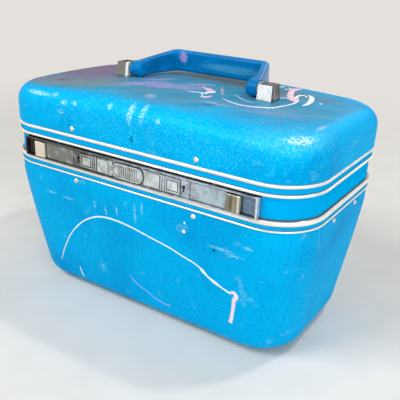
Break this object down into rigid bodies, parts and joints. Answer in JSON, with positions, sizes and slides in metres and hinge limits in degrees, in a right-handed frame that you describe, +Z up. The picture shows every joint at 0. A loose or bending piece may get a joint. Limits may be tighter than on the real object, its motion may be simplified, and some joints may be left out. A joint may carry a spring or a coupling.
{
  "type": "cosmetic train case",
  "caption": "Hard-sided train case with a crowned hinged lid, beaded metal frame, chromed latch bar with sliding thumb latches, folding handle, lift-out tray and lid mirror.",
  "frame": {"origin": "on the surface the feet stand on, under the middle of the closed case", "axes": "+X along the case to the right as seen from the front, the latches face -Y, +Z up"},
  "size_m": [0.35, 0.2111, 0.2523],
  "materials": {
    "shell_paint": "satin",
    "frame_metal": "satin",
    "lining_fabric": "matte",
    "rivet_metal": "satin",
    "bright_chrome": "polished",
    "washer_plastic": "gloss",
    "steel": "satin",
    "brass_lock": "satin",
    "foot_rubber": "matte",
    "handle_plastic": "gloss",
    "tray_plastic": "satin",
    "mirror_surround": "satin",
    "mirror_glass": "polished"
  },
  "bodies": {
    "case": {"body_shell": "shell_paint", "body_frame": "frame_metal", "body_lining": "lining_fabric", "body_rivets": "rivet_metal", "latch_bar": "bright_chrome", "latch_bar_trim": "bright_chrome", "latch_bar_badge": "bright_chrome", "latch_bar_screws": "steel", "hinge_body_rivets": "steel", "left_hinge_body_leaf": "steel", "right_hinge_body_leaf": "steel", "left_hinge_pin": "steel", "right_hinge_pin": "steel", "left_tray_rest": "tray_plastic", "right_tray_rest": "tray_plastic", "left_front_foot": "foot_rubber", "left_rear_foot": "foot_rubber", "right_front_foot": "foot_rubber", "right_rear_foot": "foot_rubber"},
    "lid": {"lid_shell": "shell_paint", "lid_frame": "frame_metal", "lid_lining": "lining_fabric", "lid_rivets": "rivet_metal", "hinge_lid_rivets": "steel", "left_hinge_lid_leaf": "steel", "right_hinge_lid_leaf": "steel", "left_latch_hook": "steel", "right_latch_hook": "steel", "left_handle_post": "bright_chrome", "right_handle_post": "bright_chrome", "left_handle_pin": "steel", "right_handle_pin": "steel", "left_handle_washer": "washer_plastic", "right_handle_washer": "washer_plastic", "left_handle_backing": "steel", "right_handle_backing": "steel", "left_handle_screw": "steel", "right_handle_screw": "steel", "mirror_frame": "mirror_surround", "mirror": "mirror_glass"},
    "handle": {"handle": "handle_plastic"},
    "left_latch": {"left_latch_slide": "bright_chrome", "left_latch_bolt": "steel"},
    "right_latch": {"right_latch_slide": "bright_chrome", "right_latch_bolt": "steel"},
    "left_lock": {"left_lock_plug": "brass_lock"},
    "right_lock": {"right_lock_plug": "brass_lock"},
    "tray": {"tray": "tray_plastic"}
  },
  "joints": [
    {"name": "lid_hinge", "type": "hinge", "parent": "case", "child": "lid", "pos_m": [0, 0.103, 0.1716], "axis": [-1, 0, 0], "range_deg": [0, 98]},
    {"name": "handle_fold", "type": "hinge", "parent": "lid", "child": "handle", "pos_m": [0, 0, 0.2349], "axis": [1, 0, 0], "range_deg": [0, 166]},
    {"name": "left_latch_slide_out", "type": "slide", "parent": "case", "child": "left_latch", "axis": [-1, 0, 0], "range_m": [0, 0.01], "stiffness_N_per_m": 200, "springref_m": -0.004},
    {"name": "right_latch_slide_out", "type": "slide", "parent": "case", "child": "right_latch", "axis": [1, 0, 0], "range_m": [0, 0.01], "stiffness_N_per_m": 200, "springref_m": -0.004},
    {"name": "left_lock_turn", "type": "hinge", "parent": "case", "child": "left_lock", "pos_m": [-0.062, -0.1, 0.16135], "axis": [0, -1, 0], "range_deg": [0, 90]},
    {"name": "right_lock_turn", "type": "hinge", "parent": "case", "child": "right_lock", "pos_m": [0.062, -0.1, 0.16135], "axis": [0, 1, 0], "range_deg": [0, 90]},
    {"name": "tray_lift", "type": "slide", "parent": "case", "child": "tray", "axis": [0, 0, 1], "range_m": [0, 0.035]}
  ]
}
